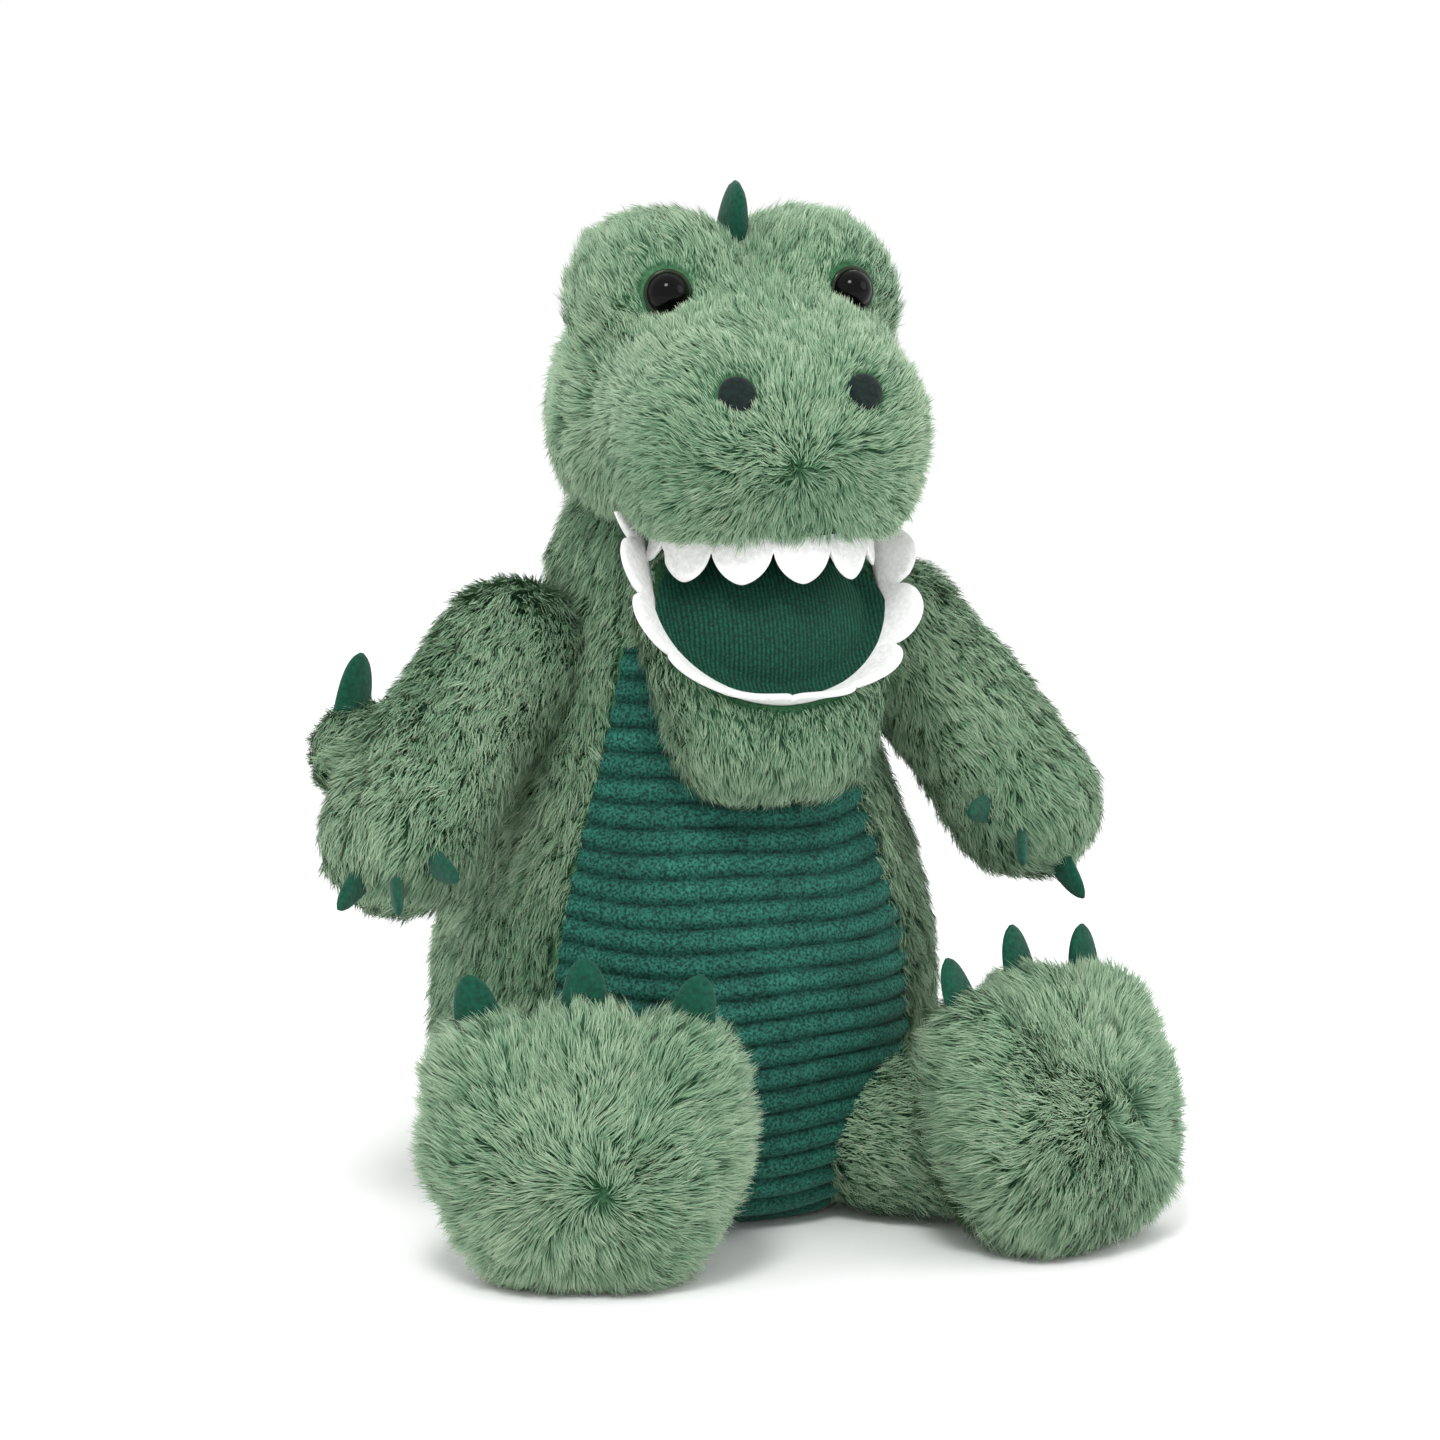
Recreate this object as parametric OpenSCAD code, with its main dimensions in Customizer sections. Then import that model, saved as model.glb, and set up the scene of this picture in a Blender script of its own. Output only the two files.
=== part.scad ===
// Sitting plush dinosaur. It faces -Y, sits on z = 0, and its own right hand is on -X.
// Each padded limb is a sewn skin over a stuffing core, and turns about a rounded root.

/* [Body] */
// Radius of the pear-shaped body at its widest
body_r = 71; // [66:1:74]
// Height of the widest part of the body
body_widest_z = 62; // [55:1:66]
// Radius of the flat base panel
base_r = 46; // [42:1:48]
// Radius of the rounded neck top, which the head turns on
neck_r = 42; // [40:0.5:43]
// Height of the centre of the rounded neck top
neck_z = 178; // [176:1:180]
// How far the neck leans to the left of the base
neck_x = 8; // [4:1:9]
// Angle across the front that the belly panel covers
belly_angle = 92; // [70:1:96]
// Thickness of the pile fabric
fur_t = 2; // [1.5:0.1:2.2]
// Radius of the pellet bag in the seat
pellet_r = 32; // [24:1:34]
// Height of the pellet bag
pellet_h = 22; // [16:1:24]

/* [Head] */
// Radius of the head
head_r = 45.5; // [44:0.5:47]
// Height of the head's centre
head_z = 228; // [226:1:230]
// Radius of each brow mound
brow_r = 22.5; // [21:0.5:23.5]
// Distance from the head's middle to a brow mound's centre
brow_x = 21; // [20:0.5:23]
// Distance from the head's middle to an eye's centre
eye_x = 26.5; // [24:0.5:27]
// Radius of an eye's dome
eye_r = 6; // [5:0.5:7]
// Distance from the head's middle to a nostril's centre
nostril_x = 18; // [16:0.5:20]
// Radius of a nostril patch
nostril_r = 4.8; // [4:0.2:5.5]

/* [Mouth] */
// Height of the underside of the snout
lip_z = 202; // [200:1:203]
// Angle the lower jaw hangs open
jaw_open = 56; // [52:1:57]
// Half width of the lower jaw's rim
jaw_half_w = 34.5; // [33:0.5:35]
// Length of the lower jaw from its hinge to its rim's front
jaw_length = 55; // [52:1:56]
// Thickness of the felt in teeth, claws and spikes
felt_t = 2; // [1.5:0.1:2.5]
// Length of a tooth
tooth_h = 10; // [8:0.5:11]
// Width of a tooth
tooth_w = 14; // [12:0.5:15]

/* [Limbs] */
// Radius of an arm
arm_r = 20; // [18:0.5:20.5]
// Radius of a leg
leg_r = 21.5; // [20:0.5:22]
// Width of a foot
foot_w = 87; // [80:1:89]
// Height of a foot
foot_h = 76; // [72:1:80]
// Thickness of a foot from sole to instep
foot_t = 44; // [40:1:46]
// Clearance round each rounded root
root_gap = 0.6; // [0.5:0.1:0.8]

/* [Tail] */
// Radius of the tail at its root
tail_root_r = 27; // [24:0.5:28]
// Radius of the tail near its tip
tail_tip_r = 14; // [12:0.5:15]

/* [Hidden] */
$fn = 64;
eps = 0.01;
big = 900;
swing_gap = 3;

fur_colour = "darkseagreen";
shade_colour = "seagreen";
felt_colour = "darkgreen";
cord_colour = "teal";
fill_colour = "whitesmoke";

// Body places
neck = [neck_x, 5, neck_z];
lean = [-atan(5 / neck_z), atan(neck_x / neck_z), 0];
base_t = fur_t;

// Head places
head = [neck_x + 2, -3, head_z];
mid_x = neck_x + 2.5;
brow_front = [mid_x, -27, head_z + 34];
brow_back = [mid_x, -12, head_z + 34];
eye = [eye_x, -46, head_z + 37];
washer_r = 7;
washer_t = 2;
washer_depth = 8;
shank_r = 1.5;
muzzle_r = 26;
muzzle = [15.5, -62, lip_z + 27];
nostril_lift = 16;
nostril_turn = asin((nostril_x - muzzle[0]) / muzzle_r);
nostril_t = 3;

// Lower jaw places: its own frame has the hinge at the origin and its rim in the plane z = 0
jaw_hinge = [mid_x, -41, lip_z - 2.5];

// Limb places, for the toy's right (side = -1) and left (side = 1)
function shoulder(side) = side < 0 ? [-50, -5, 161] : [63, -5, 163];
function hand(side) = side < 0 ? [-92, -42, 117] : [94, -36, 116];
function hip(side) = side < 0 ? [-42, -52, 24] : [48, -48, 24];
ankle_gap = 3.5;
function ankle(side) = side < 0 ? [-45, -66, 25] : [74, -68, 25];
function foot_turn(side) = side < 0 ? -17 : 32;
function foot_tilt(side) = side < 0 ? 0 : 20;

// Tail path: a smooth curve through the four control points
tail_root = [0, 72, 31];
tail_steps = 16;
tail_sides = 16;
tail_points = [tail_root, [18, 158, 2], [-12, 158, 112], [-90, 112, 117]];

// ---------- shared shapes ----------

// Places children with z along the line from a to b, starting at a
module along(a, b) {
  d = b - a;
  translate(a)
    rotate([0, atan2(norm([d[0], d[1]]), d[2]), atan2(d[1], d[0])])
      children();
}

// Half outline of a round-ended bar of length d and radius r, from its lower end up
arc_steps = 12;
function bar_outline(d, r) = concat(
  [for (i = [0:arc_steps]) [r * cos(90 - 90 * i / arc_steps), -r * sin(90 - 90 * i / arc_steps)]],
  [for (i = [0:arc_steps]) [r * cos(90 * i / arc_steps), d + r * sin(90 * i / arc_steps)]]
);

// A round-ended bar from a to b
module capsule(a, b, r) {
  along(a, b) rotate_extrude() polygon(bar_outline(norm(b - a), r));
}

// A pointed felt leaf, standing up in the XZ plane with its root at the origin
module felt_leaf(w, h) {
  rotate([90, 0, 0])
    linear_extrude(felt_t, center = true)
      intersection() {
        translate([-w / 2, 0]) square([w, h]);
        union() {
          translate([0, h - w * 0.32]) circle(w * 0.32);
          polygon([
            [-w / 2, 0], [w / 2, 0], [w * 0.46, h * 0.45],
            [w * 0.3, h * 0.8], [-w * 0.3, h * 0.8], [-w * 0.46, h * 0.45]
          ]);
        }
      }
}

module half_space(side) {
  translate([side < 0 ? -big : 0, -big / 2, -big / 2]) cube(big);
}

// ---------- body ----------

// Half outline of the pear; inset is how far it lies inside the outer surface
function pear_r(z) =
  z < body_widest_z
    ? base_r + (body_r - base_r) * pow(max(0, 1 - pow((body_widest_z - z) / body_widest_z, 2.6)), 0.5)
    : neck_r + (body_r - neck_r) * (0.5 + 0.5 * cos(180 * min(1, (z - body_widest_z) / (neck_z - body_widest_z))));

pear_rings = 14;

module pear(inset) {
  top = neck_z - 8;
  rotate(lean)
      rotate_extrude($fn = 96)
        polygon(concat(
          [[0, -12], [base_r - inset, -12]],
          [for (i = [0:pear_rings]) [pear_r(top * i / pear_rings) - inset, top * i / pear_rings]],
          [[0, top]]
        ));
  translate(neck) sphere(neck_r - inset);
}

// Hollow for a limb of radius r: close round its root, with room beyond it for the limb to swing
module limb_room(root, end, r) {
  translate(root) sphere(r + root_gap);
  along(root, end) cylinder(h = 70, r = r + swing_gap);
}

module roots_cut() {
  for (side = [-1, 1]) {
    limb_room(shoulder(side), hand(side), arm_r);
    limb_room(hip(side), ankle(side), leg_r);
  }
  translate(tail_root) sphere(tail_root_r + root_gap);
}

// Everything inside the body's outer surface, above the base panel, less the limb roots
module body_solid(inset) {
  difference() {
    pear(inset);
    translate([-big / 2, -big / 2, -big]) cube([big, big, big + base_t]);
    roots_cut();
  }
}

module belly_wedge() {
  reach = 150;
  half = belly_angle / 2;
  translate([0, 0, base_t - 1])
    linear_extrude(165)
      polygon([
        [0, 0],
        [reach * sin(-half), -reach * cos(half)],
        [reach * sin(half), -reach * cos(half)]
      ]);
}

module body_skin() {
  difference() {
    body_solid(0);
    pear(fur_t);
  }
}

module body_fur(side) {
  color(fur_colour)
    intersection() {
      difference() {
        body_skin();
        belly_wedge();
      }
      half_space(side);
    }
}

module body_fur_right() { body_fur(-1); }
module body_fur_left() { body_fur(1); }

module belly_panel() {
  color(cord_colour)
    intersection() {
      body_skin();
      belly_wedge();
    }
}

module base_panel() {
  color(shade_colour) cylinder(h = base_t, r = base_r);
}

module body_stuffing() {
  color(fill_colour)
    difference() {
      body_solid(fur_t);
      translate([0, 0, base_t - eps]) cylinder(h = pellet_h + eps, r = pellet_r);
    }
}

module pellet_bag() {
  color("lightgray")
    translate([0, 0, base_t]) cylinder(h = pellet_h, r = pellet_r);
}

// Spikes stand on the back seam; each entry is a height on the back
back_spike_z = [70, 98, 126];
module back_spikes() {
  color(felt_colour)
    difference() {
      for (z = back_spike_z) {
        y = pear_r(z) + 3 * z / neck_z;
        translate([neck_x * z / neck_z, y, z])
          rotate([-60, 0, 0])
            rotate([0, 0, 90])
              felt_leaf(15, 15);
      }
      pear(0);
    }
}

// ---------- head ----------

module neck_cut() { translate(neck) sphere(neck_r + root_gap); }

module head_ball(inset) { translate(head) sphere(head_r - inset); }

module brow(side, inset) {
  place = [side * brow_x, 0, 0];
  capsule(brow_front + place, brow_back + place, brow_r - inset);
}

// The eye's own frame has z pointing out of the head
module eye_frame(side) {
  translate([mid_x + side * eye[0], eye[1], eye[2]])
    rotate([86, 0, side * 10])
      children();
}

module eye_room(side) {
  eye_frame(side) {
    translate([0, 0, -1]) cylinder(h = 20, r = eye_r + 0.4);
    translate([0, 0, -washer_depth - 6]) cylinder(h = washer_depth + 6, r = shank_r + 0.2);
    translate([0, 0, -washer_depth - washer_t / 2]) cylinder(h = washer_t + 0.4, r = washer_r + 0.2);
  }
}

// Full snout outline; it is cut by the head, the brows and the mouth below
module snout_form(inset) {
  hull()
    for (side = [-1, 1]) {
      translate([mid_x + side * muzzle[0], muzzle[1], muzzle[2]]) sphere(muzzle_r - inset, $fn = 26);
      translate([mid_x + side * 18, -60, lip_z + 14]) sphere(22 - inset, $fn = 26);
      translate([mid_x + side * 13, -42, lip_z + 38]) sphere(26 - inset, $fn = 26);
      translate([mid_x + side * 17, -34, lip_z + 16]) sphere(24 - inset, $fn = 26);
    }
}

module behind_snout() {
  head_ball(0);
  for (side = [-1, 1]) brow(side, 0);
}

module above(z) { translate([-big / 2, -big / 2, z]) cube(big); }

module head_shell(inset) {
  difference() {
    head_ball(inset);
    neck_cut();
    translate([-big / 2, -big - 31, lip_z - big]) cube(big);
  }
}

module head_fur(side) {
  color(fur_colour)
    intersection() {
      difference() {
        head_shell(0);
        head_ball(fur_t);
      }
      translate([mid_x, 0, 0]) half_space(side);
    }
}

module head_fur_right() { head_fur(-1); }
module head_fur_left() { head_fur(1); }

module brow_fur(side) {
  color(fur_colour)
    intersection() {
      difference() {
        brow(side, 0);
        brow(side, fur_t);
        head_ball(0);
        eye_room(side);
      }
      translate([mid_x, 0, 0]) half_space(side);
    }
}

module brow_right() { brow_fur(-1); }
module brow_left() { brow_fur(1); }

module brow_stuffing(side) {
  color(fill_colour)
    intersection() {
      difference() {
        brow(side, fur_t);
        head_ball(0);
        eye_room(side);
      }
      translate([mid_x, 0, 0]) half_space(side);
    }
}

module brow_stuffing_right() { brow_stuffing(-1); }
module brow_stuffing_left() { brow_stuffing(1); }

module head_stuffing() { color(fill_colour) head_shell(fur_t); }

module snout_fur() {
  color(fur_colour)
    difference() {
      intersection() {
        snout_form(0);
        above(lip_z);
      }
      snout_form(fur_t);
      behind_snout();
      for (side = [-1, 1]) {
        eye_room(side);
        nostril_plug(side, 20);
      }
    }
}

module snout_stuffing() {
  color(fill_colour)
    difference() {
      intersection() {
        snout_form(fur_t);
        above(lip_z + fur_t);
      }
      behind_snout();
      for (side = [-1, 1]) {
        eye_room(side);
        nostril_plug(side, 20);
      }
    }
}

module mouth_roof() {
  color(felt_colour)
    difference() {
      intersection() {
        snout_form(fur_t);
        translate([-big / 2, -big / 2, lip_z]) cube([big, big, fur_t]);
      }
      behind_snout();
    }
}

module eye_part(side) {
  color("black")
    eye_frame(side) {
      difference() {
        translate([0, 0, -1]) sphere(eye_r);
        translate([-big / 2, -big / 2, -1 - big]) cube(big);
      }
      translate([0, 0, -washer_depth - 4]) cylinder(h = washer_depth + 3.5, r = shank_r);
    }
}

module eye_right() { eye_part(-1); }
module eye_left() { eye_part(1); }

module eye_washer(side) {
  color("gainsboro")
    eye_frame(side)
      translate([0, 0, -washer_depth])
        difference() {
          translate([0, 0, -washer_t / 2]) cylinder(h = washer_t, r = washer_r);
          translate([0, 0, -washer_t]) cylinder(h = 2 * washer_t, r = shank_r);
        }
}

module eye_washer_right() { eye_washer(-1); }
module eye_washer_left() { eye_washer(1); }

// A round plug that starts under the snout's skin and faces forward and a little up
module nostril_plug(side, h) {
  translate([mid_x + side * muzzle[0], muzzle[1], muzzle[2]])
    rotate([90 - nostril_lift, 0, side * nostril_turn])
      translate([0, 0, muzzle_r - nostril_t])
        cylinder(h = h, r = nostril_r);
}

module nostril_patch(side) {
  color("black") nostril_plug(side, nostril_t + 0.2);
}

module nostril_right() { nostril_patch(-1); }
module nostril_left() { nostril_patch(1); }

// Crest spikes stand on the crown seam: each has an angle back from straight up, and a height
crown_spikes = [[-20, 25], [34, 18], [68, 16]];
module head_spikes() {
  color(felt_colour)
    difference() {
      for (spike = crown_spikes)
        translate(head)
          rotate([-spike[0], 0, 0])
            translate([0, 0, head_r])
              rotate([0, 0, 90])
                felt_leaf(18, spike[1]);
      for (side = [-1, 1]) brow(side, 0);
    }
}

// ---------- mouth ----------

// One round tooth, hanging down from the origin in the XZ plane
module tooth(w, h) {
  rotate([90, 0, 0])
    linear_extrude(felt_t, center = true)
      intersection() {
        translate([0, w / 2 - h]) circle(w / 2);
        translate([-w / 2, -h]) square([w, h]);
      }
}

// Places a child facing out at each point round the front of a lip of radius r
module round_lip(r, angles) {
  for (a = angles)
    rotate([0, 0, a]) translate([0, -r, 0]) children();
}

upper_r = 30.5;
upper_y = -43;
module upper_teeth() {
  color("white")
    translate([mid_x, upper_y, lip_z]) {
      round_lip(upper_r, [-54, -24, 6, 36]) tooth(tooth_w, tooth_h);
      round_lip(upper_r, [66]) tooth(tooth_w - 4, tooth_h - 3);
      intersection() {
        translate([0, 0, -3])
          difference() {
            cylinder(h = 3, r = upper_r + felt_t / 2);
            translate([0, 0, -1]) cylinder(h = 5, r = upper_r - felt_t / 2);
          }
        translate([-big / 2, -big, -10]) cube([big, big, 20]);
      }
    }
}

module jaw_frame() {
  translate(jaw_hinge) rotate([jaw_open, 0, 0]) children();
}

module jaw_form(inset) {
  hull()
    for (side = [-1, 1]) {
      translate([side * (jaw_half_w - 9), -6, -3]) sphere(9 - inset, $fn = 24);
      translate([side * (jaw_half_w - 12), -26, -5]) sphere(12 - inset, $fn = 24);
      translate([side * (jaw_half_w - 17), -jaw_length + 14, -6]) sphere(14 - inset, $fn = 24);
      translate([side * (jaw_half_w - 19.5), -jaw_length - 2, -17]) sphere(15 - inset, $fn = 24);
      translate([side * (jaw_half_w - 15), -22, -14]) sphere(11 - inset, $fn = 24);
    }
}

module jaw_below(z) { translate([-big / 2, -big / 2, z - big]) cube(big); }

// Room behind the jaw, so that it clears the neck and chest when it opens or nods down
module chest_room() { pear(-chest_gap); }

module jaw_body(inset, top) {
  difference() {
    jaw_frame()
      intersection() {
        jaw_form(inset);
        jaw_below(top);
        translate([-big / 2, -big, -big / 2]) cube(big);
      }
    chest_room();
  }
}

module jaw_fur() {
  color(fur_colour)
    difference() {
      jaw_body(0, 0);
      jaw_frame() jaw_form(fur_t);
    }
}

module jaw_stuffing() { color(fill_colour) jaw_body(fur_t, -fur_t); }

// Height of the tongue-like bulge of the lining
tongue_h = 5;
tongue_r = 20;
tongue_ball = (tongue_r * tongue_r + tongue_h * tongue_h) / (2 * tongue_h);
module mouth_floor() {
  color(felt_colour)
    jaw_frame() {
      intersection() {
        jaw_form(fur_t);
        translate([-big / 2, -big, -fur_t]) cube([big, big, fur_t]);
      }
      translate([0, -jaw_length / 2 - 3, 0])
        intersection() {
          translate([0, 0, tongue_h - tongue_ball]) sphere(tongue_ball);
          translate([-big / 2, -big / 2, -fur_t / 2]) cube(big);
        }
    }
}

jaw_arc_r = 33;
jaw_arc_y = -22;
chest_gap = 8;
module lower_teeth() {
  color("white")
    jaw_frame()
      mirror([0, 0, 1]) {
        translate([0, jaw_arc_y, 0]) {
          round_lip(jaw_arc_r, [-75, -45, -15, 15, 45, 75]) tooth(tooth_w, tooth_h - 1.5);
          intersection() {
            translate([0, 0, -3])
              difference() {
                cylinder(h = 3, r = jaw_arc_r + felt_t / 2);
                translate([0, 0, -1]) cylinder(h = 5, r = jaw_arc_r - felt_t / 2);
              }
            translate([-big / 2, -big, -10]) cube([big, big, 20]);
          }
        }
        for (side = [-1, 1])
          translate([side * jaw_arc_r, jaw_arc_y + tooth_w / 2 + 1, 0])
            rotate([0, 0, 90])
              tooth(tooth_w, tooth_h - 2.5);
      }
}

// ---------- arms ----------

// The open end of an arm's skin, where it is sewn to the shoulder
module arm_mouth(side) {
  translate(shoulder(side)) rotate([0, side * 90, 0]) translate([0, 0, -big - 8]) cylinder(h = big, r = arm_r);
}

module arm_fur(side) {
  color(fur_colour)
    difference() {
      capsule(shoulder(side), hand(side), arm_r);
      capsule(shoulder(side), hand(side), arm_r - fur_t);
      arm_mouth(side);
    }
}

module arm_fur_right() { arm_fur(-1); }
module arm_fur_left() { arm_fur(1); }

module arm_stuffing(side) {
  color(fill_colour) capsule(shoulder(side), hand(side), arm_r - fur_t);
}

module arm_stuffing_right() { arm_stuffing(-1); }
module arm_stuffing_left() { arm_stuffing(1); }

// Claws stand out of the hand's end and front, each in its own direction
function claw_ways(side) =
  side < 0
    ? [[-0.67, -0.6, -0.45], [-0.24, -0.85, -0.47], [0.22, -0.95, -0.2]]
    : [[0.3, -0.6, -0.74], [-0.35, -0.86, -0.36], [-0.75, -0.65, 0.05]];
module hand_claws(side) {
  color(felt_colour)
    for (way = claw_ways(side))
      along(hand(side), hand(side) + way)
        translate([0, 0, arm_r + 0.5])
          felt_leaf(9, 14);
}

module hand_claws_right() { hand_claws(-1); }
module hand_claws_left() { hand_claws(1); }

// ---------- legs and feet ----------

module leg_form(side, inset) { capsule(hip(side), ankle(side), leg_r - inset); }

module leg_mouth(side) {
  along(hip(side), ankle(side)) translate([0, 0, -big - 8]) cylinder(h = big, r = leg_r);
}

module leg_fur(side) {
  color(fur_colour)
    difference() {
      leg_form(side, 0);
      leg_form(side, fur_t);
      leg_mouth(side);
    }
}

module leg_fur_right() { leg_fur(-1); }
module leg_fur_left() { leg_fur(1); }

module leg_stuffing(side) { color(fill_colour) leg_form(side, fur_t); }
module leg_stuffing_right() { leg_stuffing(-1); }
module leg_stuffing_left() { leg_stuffing(1); }

// The foot's own frame stands on z = 0 with its sole facing -y and the ankle at its back
heel_x = foot_w / 2 - 26;
module foot_frame(side) {
  translate([ankle(side)[0], ankle(side)[1], 0])
    rotate([0, 0, foot_turn(side)])
      translate([0, -foot_t / 2 - ankle_gap, foot_t / 2])
        rotate([-foot_tilt(side), 0, 0])
          translate([0, 0, -foot_t / 2])
            children();
}

seam_y = 1.3;
toe_r = 15.5;
toe_places = [[-25, 56.5], [0, 60.5], [25, 56.5]];
toe_scale = foot_w / 87;
toe_rise = foot_h / 76;

module foot_form(inset) {
  hull() {
    for (s = [-1, 1]) {
      translate([s * heel_x, 0, foot_t / 2]) sphere(foot_t / 2 - inset, $fn = 20);
      translate([s * (foot_w / 2 - foot_t / 2), 0, foot_h * 0.45]) sphere(foot_t / 2 - inset, $fn = 20);
    }
    for (t = toe_places)
      translate([t[0] * toe_scale, -2, t[1] * toe_rise]) sphere(toe_r - inset, $fn = 20);
  }
}

module ankle_room(side) { limb_room(ankle(side), hip(side), leg_r); }

module foot_upper(side) {
  color(fur_colour)
    difference() {
      foot_frame(side)
        difference() {
          foot_form(0);
          foot_form(fur_t);
          translate([-big / 2, seam_y - big, -big / 2]) cube(big);
        }
      ankle_room(side);
    }
}

module foot_sole(side) {
  color(fur_colour)
    foot_frame(side)
      difference() {
        intersection() {
          foot_form(0);
          translate([-90, seam_y - 90, -20]) cube([180, 90, 180]);
        }
        foot_form(fur_t);
      }
}

module foot_sole_right() { foot_sole(-1); }
module foot_sole_left() { foot_sole(1); }
module foot_upper_right() { foot_upper(-1); }
module foot_upper_left() { foot_upper(1); }

module foot_stuffing(side) {
  color(fill_colour)
    difference() {
      foot_frame(side) foot_form(fur_t);
      ankle_room(side);
    }
}

module foot_stuffing_right() { foot_stuffing(-1); }
module foot_stuffing_left() { foot_stuffing(1); }

module foot_claws(side) {
  color(felt_colour)
    foot_frame(side)
      for (t = toe_places)
        translate([t[0] * toe_scale, -2, t[1] * toe_rise])
          rotate([0, t[0] * 0.5, 0])
            translate([0, 0, toe_r + 0.1])
              felt_leaf(13, 15);
}

module foot_claws_right() { foot_claws(-1); }
module foot_claws_left() { foot_claws(1); }

// ---------- tail ----------

function bezier(p, t) =
  pow(1 - t, 3) * p[0] + 3 * pow(1 - t, 2) * t * p[1] + 3 * (1 - t) * t * t * p[2] + pow(t, 3) * p[3];
function slope(p, t) =
  let(d = 3 * (pow(1 - t, 2) * (p[1] - p[0]) + 2 * (1 - t) * t * (p[2] - p[1]) + t * t * (p[3] - p[2])))
    d / norm(d);
function tail_r(t, inset) =
  let(full = tail_root_r + (tail_tip_r - tail_root_r) * pow(t, 0.8))
    (t > 0.9 ? full * sqrt(max(0.02, 1 - pow((t - 0.9) / 0.1, 2))) : full) - inset;

// A ring of points round the tail's path
function tail_ring(t, inset) =
  let(
    d = slope(tail_points, t),
    side_raw = cross(d, [0, 0, 1]),
    side_dir = side_raw / norm(side_raw),
    up_dir = cross(side_dir, d),
    r = max(0.4, tail_r(t, inset))
  )
  [for (k = [0:tail_sides - 1])
    bezier(tail_points, t) + r * (side_dir * cos(360 * k / tail_sides) + up_dir * sin(360 * k / tail_sides))];

module tail_form(inset) {
  last = 1 - inset * 0.005;
  n = tail_sides;
  rings = [for (i = [0:tail_steps]) tail_ring(last * i / tail_steps, inset)];
  points = [for (ring = rings) each ring];
  polyhedron(
    points = points,
    faces = concat(
      [[for (k = [n - 1:-1:0]) k]],
      [for (i = [0:tail_steps - 1], k = [0:n - 1])
        [i * n + k, i * n + (k + 1) % n, (i + 1) * n + (k + 1) % n]],
      [for (i = [0:tail_steps - 1], k = [0:n - 1])
        [i * n + k, (i + 1) * n + (k + 1) % n, (i + 1) * n + k]],
      [[for (k = [0:n - 1]) tail_steps * n + k]]
    ),
    convexity = 6
  );
}

module tail_fur() {
  color(fur_colour)
    difference() {
      tail_form(0);
      tail_form(fur_t);
    }
}

module tail_root_plug() {
  intersection() {
    translate(tail_root) sphere(tail_root_r);
    along(tail_root, tail_root - slope(tail_points, 0))
      translate([-big / 2, -big / 2, 0])
        cube(big);
  }
}

module tail_stuffing() {
  color(fill_colour) {
    tail_form(fur_t);
    tail_root_plug();
  }
}

tail_spike_t = [0.3, 0.46, 0.62, 0.78, 0.92];
module tail_spikes() {
  color(felt_colour)
    for (t = tail_spike_t) {
      d = slope(tail_points, t);
      side_raw = cross(d, [0, 0, 1]);
      up_dir = cross(side_raw / norm(side_raw), d);
      place = bezier(tail_points, t) + (tail_r(t, 0) + 1.9) * up_dir;
      along(place, place + up_dir)
        felt_leaf(14, 15);
    }
}

// ---------- the parts ----------

body_fur_right();
body_fur_left();
belly_panel();
base_panel();
body_stuffing();
pellet_bag();
back_spikes();
head_fur_right();
head_fur_left();
brow_right();
brow_left();
head_stuffing();
brow_stuffing_right();
brow_stuffing_left();
snout_fur();
snout_stuffing();
mouth_roof();
upper_teeth();
eye_right();
eye_left();
eye_washer_right();
eye_washer_left();
nostril_right();
nostril_left();
head_spikes();
jaw_fur();
jaw_stuffing();
mouth_floor();
lower_teeth();
arm_fur_right();
arm_fur_left();
arm_stuffing_right();
arm_stuffing_left();
hand_claws_right();
hand_claws_left();
leg_fur_right();
leg_fur_left();
leg_stuffing_right();
leg_stuffing_left();
foot_upper_right();
foot_upper_left();
foot_sole_right();
foot_sole_left();
foot_stuffing_right();
foot_stuffing_left();
foot_claws_right();
foot_claws_left();
tail_fur();
tail_stuffing();
tail_spikes();
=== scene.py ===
import bpy
import bmesh
import math
import numpy as np
from mathutils import Vector, Matrix
from mathutils.bvhtree import BVHTree


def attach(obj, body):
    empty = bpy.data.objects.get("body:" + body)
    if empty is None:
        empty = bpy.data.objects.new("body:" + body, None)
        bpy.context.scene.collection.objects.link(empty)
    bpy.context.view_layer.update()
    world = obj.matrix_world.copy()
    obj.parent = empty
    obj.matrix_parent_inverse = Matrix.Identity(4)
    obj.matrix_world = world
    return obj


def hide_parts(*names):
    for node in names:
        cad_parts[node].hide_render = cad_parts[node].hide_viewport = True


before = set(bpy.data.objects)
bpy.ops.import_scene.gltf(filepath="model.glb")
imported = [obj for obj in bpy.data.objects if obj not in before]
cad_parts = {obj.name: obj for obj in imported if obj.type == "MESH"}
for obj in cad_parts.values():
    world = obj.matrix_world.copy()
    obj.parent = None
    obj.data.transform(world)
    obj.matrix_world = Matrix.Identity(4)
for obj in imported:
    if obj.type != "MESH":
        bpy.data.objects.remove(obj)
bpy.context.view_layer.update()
MM = 0.001
SIDES = (("right", -1), ("left", 1))

# ---------------------------------------------------------------- places, in mm, from the CAD
# The toy faces -Y. A key of -1 is its right side, and 1 its left.
NECK, NECK_R = np.array([8.0, 5.0, 178.0]), 42.0
# The pear body: its radius at the base, its largest radius, and the height of that
BASE_R, BODY_R, WIDEST = 46.0, 71.0, 62.0
HEAD, HEAD_R = np.array([10.0, -3.0, 228.0]), 45.5
# The face's middle across X, and the height of the upper lip
MID, LIP_Z = 10.5, 202.0
BROW_R = 22.5
EYE = {s: np.array([MID + s * 26.5, -46.0, 265.0]) for s in (-1, 1)}
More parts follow.
